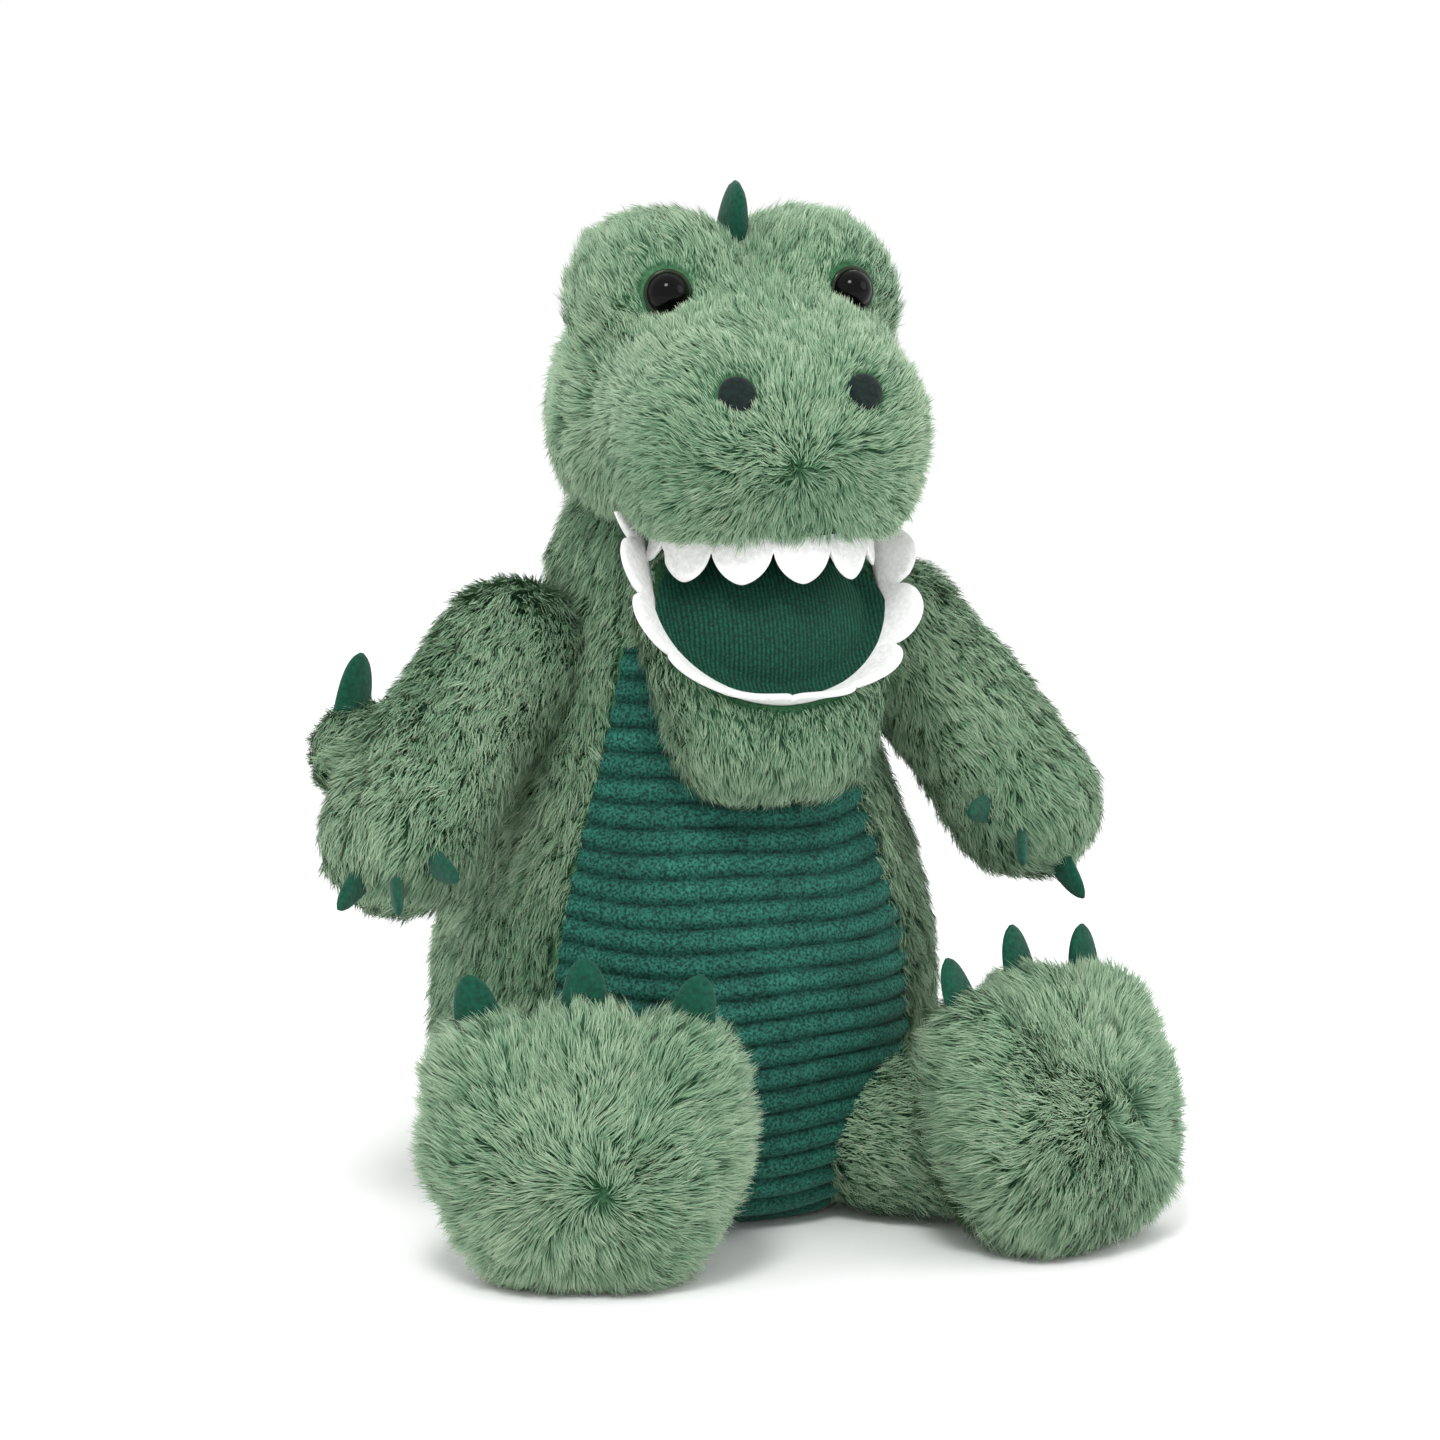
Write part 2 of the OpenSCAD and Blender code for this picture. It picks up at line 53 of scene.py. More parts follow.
# JAW_W is half the jaw's width, and JAW_DEG is how far it hangs open
JAW_HINGE, JAW_DEG = np.array([MID, -41.0, 199.5]), 56
JAW_OPEN = math.radians(JAW_DEG)
JAW_W, JAW_L = 34.5, 55.0
SHOULDER = {-1: np.array([-50.0, -5, 161]), 1: np.array([63.0, -5, 163])}
HAND = {-1: np.array([-92.0, -42, 117]), 1: np.array([94.0, -36, 116])}
HIP = {-1: np.array([-42.0, -52, 24]), 1: np.array([48.0, -48, 24])}
ANKLE = {-1: np.array([-45.0, -66, 25]), 1: np.array([74.0, -68, 25])}
ARM_R, LEG_R = 20.0, 21.5
# Each foot stands on its heel: its thickness, its turn about Z and its tilt back
FOOT_T, FOOT_TURN, FOOT_TILT = 44.0, {-1: -17, 1: 32}, {-1: 0, 1: 20}
# Toe centres across and up the foot
TOES, TOE_R = ((-25.0, 56.5), (0.0, 60.5), (25.0, 56.5)), 15.5
# Control points of the tail's path, and its radius at root and tip
TAIL = np.array([[0.0, 72, 31], [18, 158, 2], [-12, 158, 112], [-90, 112, 117]])
TAIL_R0, TAIL_R1 = 27.0, 14.0
# Half the angle that the belly panel covers, in degrees
BELLY_HALF = 46.0


def rot(axis, deg):
    return np.array(Matrix.Rotation(math.radians(deg), 3, axis))


def unit(v):
    v = np.asarray(v, float)
    return v / np.maximum(np.linalg.norm(v, axis=-1, keepdims=True), 1e-9)


def pear_r(z):
    """The body's radius at a height."""
    z = np.asarray(z, float)
    bulge = np.sqrt(np.maximum(0, 1 - np.abs((WIDEST - z) / WIDEST) ** 2.6))
    low = BASE_R + (BODY_R - BASE_R) * bulge
    t = np.clip((z - WIDEST) / (NECK[2] - WIDEST), 0, 1)
    high = NECK_R + (BODY_R - NECK_R) * (0.5 + 0.5 * np.cos(np.pi * t))
    return np.where(z < WIDEST, low, high)


def jaw_to_world(p):
    """The jaw's own frame has its hinge at the origin and its rim in the plane z = 0."""
    return np.asarray(p, float) @ rot("X", JAW_DEG).T + JAW_HINGE


def foot_matrix(s):
    """The foot's own frame has its sole facing -Y and its heel on z = 0."""
    m = Matrix.Translation((ANKLE[s][0], ANKLE[s][1], 0))
    m = m @ Matrix.Rotation(math.radians(FOOT_TURN[s]), 4, "Z")
    m = m @ Matrix.Translation((0, -FOOT_T / 2 - 3.5, FOOT_T / 2))
    m = m @ Matrix.Rotation(math.radians(-FOOT_TILT[s]), 4, "X")
    return np.array(m @ Matrix.Translation((0, 0, -FOOT_T / 2)))


def foot_to_world(s, p):
    m = foot_matrix(s)
    return np.asarray(p, float) @ m[:3, :3].T + m[:3, 3]


def bezier(t):
    t = np.asarray(t, float)[..., None]
    near_root = (1 - t) ** 3 * TAIL[0] + 3 * (1 - t) ** 2 * t * TAIL[1]
    return near_root + 3 * (1 - t) * t * t * TAIL[2] + t ** 3 * TAIL[3]


def tail_slope(t):
    return unit(bezier(np.asarray(t) + 0.004) - bezier(np.asarray(t) - 0.004))


def wave(p, size, seed):
    """Smooth noise from -1 to 1 over points in mm, from a few crossed sine waves."""
    rng = np.random.default_rng(seed)
    out = np.zeros(len(p))
    for k in range(6):
        d = unit(rng.normal(size=3))
        out += np.sin(p @ d * (2 * np.pi / size) * rng.uniform(0.7, 1.6) + rng.uniform(0, 6.28))
    return out / 3.2


# ---------------------------------------------------------------- mesh helpers
def add_mesh(name, verts, faces, smooth=True):
    me = bpy.data.meshes.new(name)
    me.from_pydata([tuple(v) for v in np.asarray(verts, float) * MM], [], [tuple(map(int, f)) for f in faces])
    me.update()
    if smooth:
        me.shade_smooth()
    ob = bpy.data.objects.new(name, me)
    bpy.context.scene.collection.objects.link(ob)
    return ob


def fix_normals(ob):
    bm = bmesh.new()
    bm.from_mesh(ob.data)
    bmesh.ops.recalc_face_normals(bm, faces=bm.faces)
    bm.to_mesh(ob.data)
    bm.free()
    ob.data.shade_smooth()


def bake(ob):
    """Applies the object's modifiers to a fresh mesh."""
    deps = bpy.context.evaluated_depsgraph_get()
    me = bpy.data.meshes.new_from_object(ob.evaluated_get(deps))
    ob.modifiers.clear()
    old = ob.data
    ob.data = me
    bpy.data.meshes.remove(old)
    me.shade_smooth()
    return ob


def ball_points(c, r, n=18):
    pts = []
    for i in range(n // 2 + 1):
        a = math.pi * i / (n // 2)
        for k in range(n):
            b = 2 * math.pi * k / n
            pts.append((math.sin(a) * math.cos(b), math.sin(a) * math.sin(b), math.cos(a)))
    return np.asarray(c, float) + r * np.array(pts)


def hull_of(balls):
    """The convex form round some balls, each given as (centre, radius)."""
    bm = bmesh.new()
    for c, r in balls:
        for p in ball_points(c, r):
            bm.verts.new(p)
    bmesh.ops.remove_doubles(bm, verts=bm.verts, dist=0.01)
    got = bmesh.ops.convex_hull(bm, input=bm.verts)
    inside = {v for v in got["geom_interior"] + got["geom_unused"] if isinstance(v, bmesh.types.BMVert)}
    bmesh.ops.delete(bm, geom=list(inside), context="VERTS")
    bm.verts.index_update()
    v = np.array([x.co for x in bm.verts])
    f = [[x.index for x in fc.verts] for fc in bm.faces]
    bm.free()
    return v, f


def ring_faces(rows, n):
    """Quads between rows + 1 closed rings of n points each."""
    return [
        [i * n + k, i * n + (k + 1) % n, (i + 1) * n + (k + 1) % n, (i + 1) * n + k]
        for i in range(rows) for k in range(n)
    ]


def lathe(profile, n=72):
    """A closed form turned about Z from (radius, height) points."""
    a = np.linspace(0, 2 * np.pi, n, endpoint=False)
    v = [(r * math.cos(t), r * math.sin(t), z) for r, z in profile for t in a]
    f = ring_faces(len(profile) - 1, n)
    f.append(list(range(n))[::-1])
    f.append([(len(profile) - 1) * n + k for k in range(n)])
    return np.array(v), f


def blob(name, solids, voxel, smooth, cut=None):
    """One closed skin round several closed solids, with soft creases between them."""
    verts, faces, n = [], [], 0
    for v, f in solids:
        verts.append(v)
        faces += [[i + n for i in q] for q in f]
        n += len(v)
    ob = add_mesh(name, np.vstack(verts), faces)
    fix_normals(ob)
    mod = ob.modifiers.new("remesh", "REMESH")
    mod.mode, mod.voxel_size = "VOXEL", voxel * MM
    mod = ob.modifiers.new("smooth", "SMOOTH")
    mod.factor, mod.iterations = 0.5, smooth
    bake(ob)
    if cut is not None:
        bm = bmesh.new()
        bm.from_mesh(ob.data)
        for co, no in cut:
            geom = bm.verts[:] + bm.edges[:] + bm.faces[:]
            bmesh.ops.bisect_plane(bm, geom=geom, plane_co=np.asarray(co) * MM, plane_no=no, clear_outer=True)
            bmesh.ops.holes_fill(bm, edges=[e for e in bm.edges if e.is_boundary])
        bmesh.ops.triangulate(bm, faces=[f for f in bm.faces if len(f.verts) > 4])
        bm.to_mesh(ob.data)
        bm.free()
        ob.data.shade_smooth()
    return ob


def inflate(obs, cap):
    """Puffs the skins with one cloth simulation, then keeps each point within cap mm of its start."""
    scene = bpy.context.scene
    start = {}
    for ob in obs:
        co = np.empty(len(ob.data.vertices) * 3)
        ob.data.vertices.foreach_get("co", co)
        start[ob.name] = co.reshape(-1, 3)
    moved = {}
    for ob in obs:
        c = ob.modifiers.new("cloth", "CLOTH")
        c.settings.quality = 4
        c.settings.mass = 0.2
        c.settings.tension_stiffness = 25
        c.settings.compression_stiffness = 25
        c.settings.bending_stiffness = 3
        c.settings.use_pressure = True
        c.settings.uniform_pressure_force = 3.0
        c.settings.effector_weights.gravity = 0
        c.collision_settings.use_collision = False
        c.point_cache.frame_start, c.point_cache.frame_end = 1, 20
    for f in range(1, 21):
        scene.frame_set(f)
    deps = bpy.context.evaluated_depsgraph_get()
    for ob in obs:
        me = ob.evaluated_get(deps).data
        co = np.empty(len(me.vertices) * 3)
        me.vertices.foreach_get("co", co)
        moved[ob.name] = co.reshape(-1, 3)
    for ob in obs:
        ob.modifiers.clear()
    scene.frame_set(1)
    for ob in obs:
        if ob.name in moved:
            d = moved[ob.name] - start[ob.name]
            far = np.linalg.norm(d, axis=1, keepdims=True)
            d *= np.minimum(1, cap * MM / np.maximum(far, 1e-9))
            new = start[ob.name] + d
            new[:, 2] = np.maximum(new[:, 2], 0.0003)
            ob.data.vertices.foreach_set("co", new.ravel())
            ob.data.update()
        sub = ob.modifiers.new("sub", "SUBSURF")
        sub.levels = sub.render_levels = 1
        bake(ob)


# ---------------------------------------------------------------- materials
def new_mat(name, rough, **sockets):
    m = bpy.data.materials.new(name)
    m.use_nodes = True
    b = m.node_tree.nodes["Principled BSDF"]
    b.inputs["Roughness"].default_value = rough
    for k, v in sockets.items():
        b.inputs[k.replace("_", " ")].default_value = v
    return m, m.node_tree, b


def ramp(nt, fac, stops):
    r = nt.nodes.new("ShaderNodeValToRGB")
    els = r.color_ramp.elements
    while len(els) < len(stops):
        els.new(0.5)
    for e, (p, c) in zip(els, stops):
        e.position, e.color = p, (*c, 1)
    nt.links.new(fac, r.inputs["Fac"])
    return r.outputs["Color"]


def mix(nt, fac, a, b, kind="MIX"):
    m = nt.nodes.new("ShaderNodeMix")
    m.data_type, m.blend_type = "RGBA", kind
    for sock, v in ((m.inputs[0], fac), (m.inputs[6], a), (m.inputs[7], b)):
        if isinstance(v, (int, float)):
            sock.default_value = v
        elif isinstance(v, tuple):
            sock.default_value = (*v, 1)
        else:
            nt.links.new(v, sock)
    return m.outputs[2]


def noise(nt, scale, detail=3, coords=None):
    n = nt.nodes.new("ShaderNodeTexNoise")
    n.inputs["Scale"].default_value = scale
    n.inputs["Detail"].default_value = detail
    if coords is None:
        coords = nt.nodes.new("ShaderNodeTexCoord").outputs["Object"]
    nt.links.new(coords, n.inputs["Vector"])
    return n.outputs["Fac"]


def bump(nt, b, height, strength, dist):
    n = nt.nodes.new("ShaderNodeBump")
    n.inputs["Strength"].default_value = strength
    n.inputs["Distance"].default_value = dist
    nt.links.new(height, n.inputs["Height"])
    nt.links.new(n.outputs["Normal"], b.inputs["Normal"])


def fur_material():
    """Colour runs from root to tip along v, and from strand to strand along u. Both ramps darken toward the
    root: painted shade deep in the pile.
    """
    m, nt, b = new_mat(
        "pile", 0.75, Specular_IOR_Level=0.25, Sheen_Weight=0.25, Sheen_Roughness=0.5,
        Sheen_Tint=(0.75, 0.95, 0.72, 1))
    uv = nt.nodes.new("ShaderNodeUVMap")
    uv.uv_map = "OFBake"
    sep = nt.nodes.new("ShaderNodeSeparateXYZ")
    nt.links.new(uv.outputs["UV"], sep.inputs[0])
    # Both ramps run darker toward the root at v = 0: painted shade deep in the pile, over the pile's own
    # green that turns pale sage at the tips.
    dark = ramp(nt, sep.outputs[1], [
        (0.0, (0.022, 0.085, 0.042)), (0.45, (0.075, 0.205, 0.105)), (1.0, (0.190, 0.350, 0.205))])
    pale = ramp(nt, sep.outputs[1], [
        (0.0, (0.040, 0.135, 0.066)), (0.45, (0.190, 0.355, 0.205)), (1.0, (0.620, 0.720, 0.520))])
    nt.links.new(mix(nt, sep.outputs[0], dark, pale), b.inputs["Base Color"])
    return m


def backing_material():
    m, nt, b = new_mat("pile_backing", 0.95, Specular_IOR_Level=0.1)
    # The backing's dark green is partly its own colour and partly painted shade under the pile.
    c = ramp(nt, noise(nt, 900), [(0.3, (0.030, 0.105, 0.045)), (0.7, (0.075, 0.210, 0.100))])
    nt.links.new(c, b.inputs["Base Color"])
    bump(nt, b, noise(nt, 1500, 2), 0.4, 0.0005)
    return m


def cord_material():
    m, nt, b = new_mat(
        "corduroy", 0.85, Specular_IOR_Level=0.2, Sheen_Weight=0.25, Sheen_Roughness=0.4,
        Sheen_Tint=(0.30, 0.70, 0.55, 1))
    uv = nt.nodes.new("ShaderNodeUVMap")
    uv.uv_map = "rib"
    sep = nt.nodes.new("ShaderNodeSeparateXYZ")
    nt.links.new(uv.outputs["UV"], sep.inputs[0])
    # The colour runs darker from the rib crowns (v = 1) down into the grooves (v = 0): painted shade in the
    # grooves.
    crown = ramp(nt, sep.outputs[1], [
        (0.0, (0.001, 0.012, 0.009)), (0.45, (0.006, 0.048, 0.036)), (1.0, (0.015, 0.088, 0.066))])
    fleck = ramp(nt, noise(nt, 1300, 3), [(0.38, (0.35, 0.42, 0.42)), (0.62, (1.7, 1.75, 1.7))])
    cloudy = ramp(nt, noise(nt, 60, 3), [(0.3, (0.75, 0.78, 0.78)), (0.7, (1.25, 1.25, 1.25))])
    flecked = mix(nt, 1.0, crown, fleck, "MULTIPLY")
    nt.links.new(mix(nt, 1.0, flecked, cloudy, "MULTIPLY"), b.inputs["Base Color"])
    bump(nt, b, noise(nt, 1500, 2), 0.55, 0.0006)
    return m


def felt_material(name, low, high, sheen=0.3):
    m, nt, b = new_mat(name, 0.92, Specular_IOR_Level=0.15, Sheen_Weight=sheen, Sheen_Roughness=0.6)
    c = ramp(nt, noise(nt, 700, 4), [(0.3, low), (0.7, high)])
    nt.links.new(c, b.inputs["Base Color"])
    bump(nt, b, noise(nt, 1100, 4), 0.5, 0.0005)
    return m


def velour_material():
    m, nt, b = new_mat(
        "velour", 0.8, Specular_IOR_Level=0.25, Sheen_Weight=0.35, Sheen_Roughness=0.35,
        Sheen_Tint=(0.2, 0.8, 0.5, 1))
    tc = nt.nodes.new("ShaderNodeTexCoord").outputs["Object"]
    w = nt.nodes.new("ShaderNodeTexWave")
    w.bands_direction = "X"
    w.inputs["Scale"].default_value = 260
    w.inputs["Distortion"].default_value = 1.2
    w.inputs["Detail"].default_value = 1
    nt.links.new(tc, w.inputs["Vector"])
    # The colour runs darker in the troughs of the waves that also set the bump: painted shade in the ribs'
    # hollows.
    c = ramp(nt, w.outputs["Fac"], [(0.0, (0.0006, 0.020, 0.012)), (1.0, (0.002, 0.062, 0.036))])
    fleck = ramp(nt, noise(nt, 1500, 2), [(0.35, (0.55, 0.55, 0.55)), (0.65, (1.5, 1.5, 1.5))])
    nt.links.new(mix(nt, 1.0, c, fleck, "MULTIPLY"), b.inputs["Base Color"])
    bump(nt, b, w.outputs["Fac"], 0.35, 0.0004)
    return m


def gloss_material(name, low, high, rough, coat):
    m, nt, b = new_mat(name, rough, Specular_IOR_Level=0.12, Coat_Weight=coat, Coat_Roughness=0.03)
    nt.links.new(ramp(nt, noise(nt, 300, 2), [(0.3, low), (0.7, high)]), b.inputs["Base Color"])
    return m


PILE, BACK, CORD = fur_material(), backing_material(), cord_material()
GREEN = felt_material("green_felt", (0.002, 0.042, 0.025), (0.005, 0.084, 0.048), 0.1)
WHITE = felt_material("white_felt", (0.76, 0.765, 0.75), (0.93, 0.93, 0.92), 0.2)
VELOUR = velour_material()
NOSTRIL = felt_material("nostril_cloth", (0.002, 0.006, 0.006), (0.006, 0.018, 0.016), 0.1)
BLACK = gloss_material("eye_plastic", (0.001, 0.0012, 0.001), (0.002, 0.0024, 0.002), 0.07, 0.0)
OLIVE = gloss_material("eye_rim", (0.010, 0.015, 0.006), (0.02, 0.03, 0.014), 0.3, 0.2)


def dress(ob, mat, body, slot, *nodes):
    ob.data.materials.clear()
    ob.data.materials.append(mat)
    if body:
        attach(ob, body)
    if nodes:
        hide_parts(*nodes)
    return ob


# ---------------------------------------------------------------- camera, light and floor
scene = bpy.context.scene
scene.view_settings.view_transform = "Standard"
cam = bpy.data.objects.new("camera", bpy.data.cameras.new("camera"))
scene.collection.objects.link(cam)
cam.data.lens, cam.data.sensor_width = 110, 36
cam.data.clip_start, cam.data.clip_end = 0.05, 30
view_dir = Vector((0.2888, 0.9445, -0.1564)).normalized()
target = Vector((0.0184, 0.0168, 0.1351))
cam.location = target - view_dir * 1.3
cam.rotation_euler = view_dir.to_track_quat("-Z", "Y").to_euler()
scene.camera = cam

FLOOR = 3000.0
floor_v = [(-FLOOR, -FLOOR, 0), (FLOOR, -FLOOR, 0), (FLOOR, FLOOR, 0), (-FLOOR, FLOOR, 0)]
floor = add_mesh("floor", floor_v, [(0, 1, 2, 3)], smooth=False)
m, nt, b = new_mat("floor_paper", 0.9, Specular_IOR_Level=0.1)
paper = ramp(nt, noise(nt, 8, 2), [(0.0, (0.985, 0.985, 0.985)), (1.0, (0.998, 0.998, 0.998))])
nt.links.new(paper, b.inputs["Base Color"])
floor.data.materials.append(m)

world = bpy.data.worlds.new("studio")
scene.world = world
world.use_nodes = True
world.node_tree.nodes["Background"].inputs["Color"].default_value = (1, 1, 1, 1)
world.node_tree.nodes["Background"].inputs["Strength"].default_value = 1.03


def lamp(name, place, size, watts, aim=(0.01, -0.02, 0.14)):
    d = bpy.data.lights.new(name, "AREA")
    d.shape, d.size, d.energy = "DISK", size, watts
    o = bpy.data.objects.new(name, d)
    o.location = place
    o.rotation_euler = (Vector(aim) - Vector(place)).to_track_quat("-Z", "Y").to_euler()
    scene.collection.objects.link(o)


lamp("key", (-0.45, -0.95, 1.45), 0.45, 13)
lamp("fill", (1.3, -0.8, 0.8), 1.0, 4)
lamp("rim", (0.3, 1.2, 1.2), 0.9, 5)

# ---------------------------------------------------------------- skins: padded shapes under the pile
def bar(a, b, ra, rb=None):
    return hull_of([(a, ra), (b, ra if rb is None else rb)])


lean_side = math.degrees(math.atan2(NECK[0], NECK[2]))
lean_back = math.degrees(math.atan2(NECK[1], NECK[2]))
lean = rot("Y", lean_side) @ rot("X", -lean_back)
prof = [(float(pear_r(z)) - 0.8, z) for z in np.linspace(0.5, 170, 40)]
pear_v, pear_f = lathe(prof)
torso = blob("torso_skin", [(pear_v @ lean.T, pear_f), hull_of([(NECK, NECK_R - 1)])], 4.5, 5)

snout_balls = []
for s in (-1, 1):
    snout_balls += [
        ((MID + s * 15.5, -62, 229), 25),
        ((MID + s * 18, -60, 216), 21),
        ((MID + s * 13, -42, 240), 25),
        ((MID + s * 17, -34, 218), 23),
    ]
head_parts = [hull_of([(HEAD, HEAD_R - 1)]), hull_of(snout_balls)]
for s in (-1, 1):
    head_parts.append(bar((MID + s * 21, -27, 262), (MID + s * 21, -12, 262), BROW_R - 1))
    cheek = [((MID + s * 33, -16, 226), 15), ((MID + s * 25, -30, 205), 11), ((MID + s * 31, -22, 244), 13)]
    head_parts.append(hull_of(cheek))
head = blob("head_skin", head_parts, 3.6, 4, cut=[((0, -60, LIP_Z + 0.4), (0, 0.10, -1))])

JAW_FORM = (
    (JAW_W - 9, -6, -3, 8.4),
    (JAW_W - 12, -26, -5, 11.4),
    (JAW_W - 17, -JAW_L + 14, -6, 13.4),
    (JAW_W - 24, -JAW_L - 2, -17, 15.4),
    (JAW_W - 17, -22, -14, 10.4),
)
jaw_balls = [(jaw_to_world((s * x, y, z)), r) for s in (-1, 1) for x, y, z, r in JAW_FORM]
rim_up = np.array([0, -math.sin(JAW_OPEN), math.cos(JAW_OPEN)])
jaw = blob("jaw_skin", [hull_of(jaw_balls)], 3.2, 3, cut=[(jaw_to_world((0, 0, -0.4)), tuple(rim_up))])

arms, legs, feet = {}, {}, {}
for side, s in SIDES:
    elbow = (SHOULDER[s] + HAND[s]) / 2 + np.array([s * 2.0, 0, 1.5])
    upper_arm = bar(SHOULDER[s], elbow, ARM_R - 1, ARM_R - 2)
    forearm = bar(elbow, HAND[s], ARM_R - 2, ARM_R - 0.5)
    arms[s] = blob(f"arm_skin_{side}", [upper_arm, forearm], 4, 4)
    legs[s] = blob(f"leg_skin_{side}", [bar(HIP[s], ANKLE[s], LEG_R - 1)], 4, 3)
    toes = [
        hull_of([(foot_to_world(s, (x, -2, z)), TOE_R - 0.5), (foot_to_world(s, (x * 0.8, -1, 38)), 19)])
        for x, z in TOES
    ]
    heel_at = [(k * h, 0, z) for k in (-1, 1) for h, z in ((11.5, 21.6), (20.5, 38))]
    heel = hull_of([(foot_to_world(s, at), FOOT_T / 2 - 1) for at in heel_at])
    feet[s] = blob(f"foot_skin_{side}", toes + [heel], 3.6, 2)

steps = np.linspace(0, 1, 26)
tail_rad = TAIL_R0 + (TAIL_R1 - TAIL_R0) * steps ** 0.8 - 1
# The last ball stops short of the path's end, so that its round tip reaches that end
balls = [(bezier(np.array(t)), r) for t, r in zip(steps[:-1] * 0.93, tail_rad[:-1])]
tail_parts = [hull_of(pair) for pair in zip(balls[:-1], balls[1:])]
tail = blob("tail_skin", tail_parts, 4, 4, cut=[(TAIL[0], (0, -1, 0))])

inflate([torso, head, jaw, tail] + [o[s] for o in (arms, legs, feet) for s in (-1, 1)], 2.0)

skins = [
    (torso, "torso", ("body_fur_right", "body_fur_left", "base_panel", "body_stuffing", "pellet_bag")),
    (head, "head", (
        "head_fur_right", "head_fur_left", "brow_right", "brow_left", "head_stuffing", "brow_stuffing_right",
        "brow_stuffing_left", "snout_fur", "snout_stuffing", "eye_washer_right", "eye_washer_left")),
    (jaw, "jaw", ("jaw_fur", "jaw_stuffing")),
    (tail, "tail", ("tail_fur", "tail_stuffing")),
]
for side, s in SIDES:
    skins.append((arms[s], "arm_" + side, (f"arm_fur_{side}", f"arm_stuffing_{side}")))
    skins.append((legs[s], "leg_" + side, (f"leg_fur_{side}", f"leg_stuffing_{side}")))
    foot_nodes = (f"foot_upper_{side}", f"foot_sole_{side}", f"foot_stuffing_{side}")
    skins.append((feet[s], "foot_" + side, foot_nodes))
for ob, body, nodes in skins:
    dress(ob, BACK, body, "pile_fur", *nodes)


# ---------------------------------------------------------------- belly, mouth, teeth
def belly_half(z):
    """Half the belly's angle at each height: it narrows round the bottom."""
    z = np.asarray(z, float)
    low = 20 + (BELLY_HALF - 20) * np.sqrt(np.clip(1 - ((44 - z) / 44) ** 2, 0, 1))
    high = BELLY_HALF - np.clip(z - 60, 0, 100) * 0.03
    return np.where(z < 44, low, high)


def tree_of(ob):
    me = ob.data
    me.calc_loop_triangles()
    verts = [v.co / MM for v in me.vertices]
    return BVHTree.FromPolygons(verts, [tuple(t.vertices) for t in me.loop_triangles])


torso_tree = tree_of(torso)
RIB = 6.5
rows, cols = 250, 90
zs = np.linspace(1.0, 164, rows)
verts, ribv = [], []
for z in zs:
    half = float(belly_half(z)) + 1.5
    for a in np.linspace(-half, half, cols):
        sag = 1.6 * (1 - (a / half) ** 2)
        t = math.radians(a)
        out = Vector((math.sin(t), -math.cos(t), 0))
        origin = Vector((NECK[0] * z / NECK[2], NECK[1] * z / NECK[2], z))
        hit, nrm, _, _ = torso_tree.ray_cast(origin + out * 120, -out)
        if hit is None:
            hit, nrm = origin + out * float(pear_r(z)), out
        phase = ((z + sag) / RIB + 0.12 * math.sin(a * 0.11 + z * 0.05)) % 1.0
        crown = abs(math.sin(math.pi * phase)) ** 0.55
        nrm = nrm if nrm.dot(out) > 0 else -nrm
        v = np.array(hit + nrm * (0.5 + 1.9 * crown))
        v[2] = max(v[2], 0.3)
        verts.append(v)
        ribv.append(crown)
faces = [
    [i * cols + k, i * cols + k + 1, (i + 1) * cols + k + 1, (i + 1) * cols + k]
    for i in range(rows - 1) for k in range(cols - 1)
]
belly = add_mesh("belly_corduroy", verts, faces)
uvl = belly.data.uv_layers.new(name="rib")
loop_v = np.empty(len(belly.data.loops), int)
belly.data.loops.foreach_get("vertex_index", loop_v)
uv = np.zeros((len(loop_v), 2))
uv[:, 0] = (loop_v % cols) / cols
# v holds each point's crown height; the corduroy material darkens the grooves with it as painted shade.
uv[:, 1] = np.array(ribv)[loop_v]
uvl.data.foreach_set("uv", uv.ravel())
dress(belly, CORD, "torso", "corduroy", "belly_panel")


def strip(name, path, outs, up, heights, thick, flare):
    """A felt strip along a path: its free edge is heights from it, and it leans outward by flare."""
    rows_n = 9
    n = len(path)
    up = np.broadcast_to(up, path.shape) if np.ndim(up) == 1 else up
    sheet_out = unit(outs - up * np.sum(outs * up, 1, keepdims=True))
    verts = []
    for sgn in (1, -1):
        for j in range(rows_n):
            v = j / (rows_n - 1)
            edge = math.sqrt(max(0.0, 1 - v ** 10))
            for i in range(n):
                h = heights[i]
                half = thick / 2 * (0.25 + 0.75 * edge)
                middle = path[i] + up[i] * (h * v) + outs[i] * (flare * v * v)
                verts.append(middle + sheet_out[i] * (sgn * half))
    faces = []
    block = rows_n * n
    for b, order in ((0, 1), (block, -1)):
        for j in range(rows_n - 1):
            for i in range(n - 1):
                q = [b + j * n + i, b + j * n + i + 1, b + (j + 1) * n + i + 1, b + (j + 1) * n + i]
                faces.append(q[::order])
    for i in range(n - 1):
        t = (rows_n - 1) * n
        faces.append([t + i, t + i + 1, block + t + i + 1, block + t + i])
        faces.append([i + 1, i, block + i, block + i + 1])
    for i, o in ((0, 1), (n - 1, -1)):
        for j in range(rows_n - 1):
            q = [j * n + i, (j + 1) * n + i, block + (j + 1) * n + i, block + j * n + i]
            faces.append(q[::o])
    ob = add_mesh(name, verts, faces)
    fix_normals(ob)
    return ob


def scallop(t, low, high, power):
    """Height of a scalloped edge, where t runs from -1 to 1 across each tooth."""
    return low + (high - low) * np.power(np.clip(1 - np.abs(t) ** power, 0, 1), 0.5)


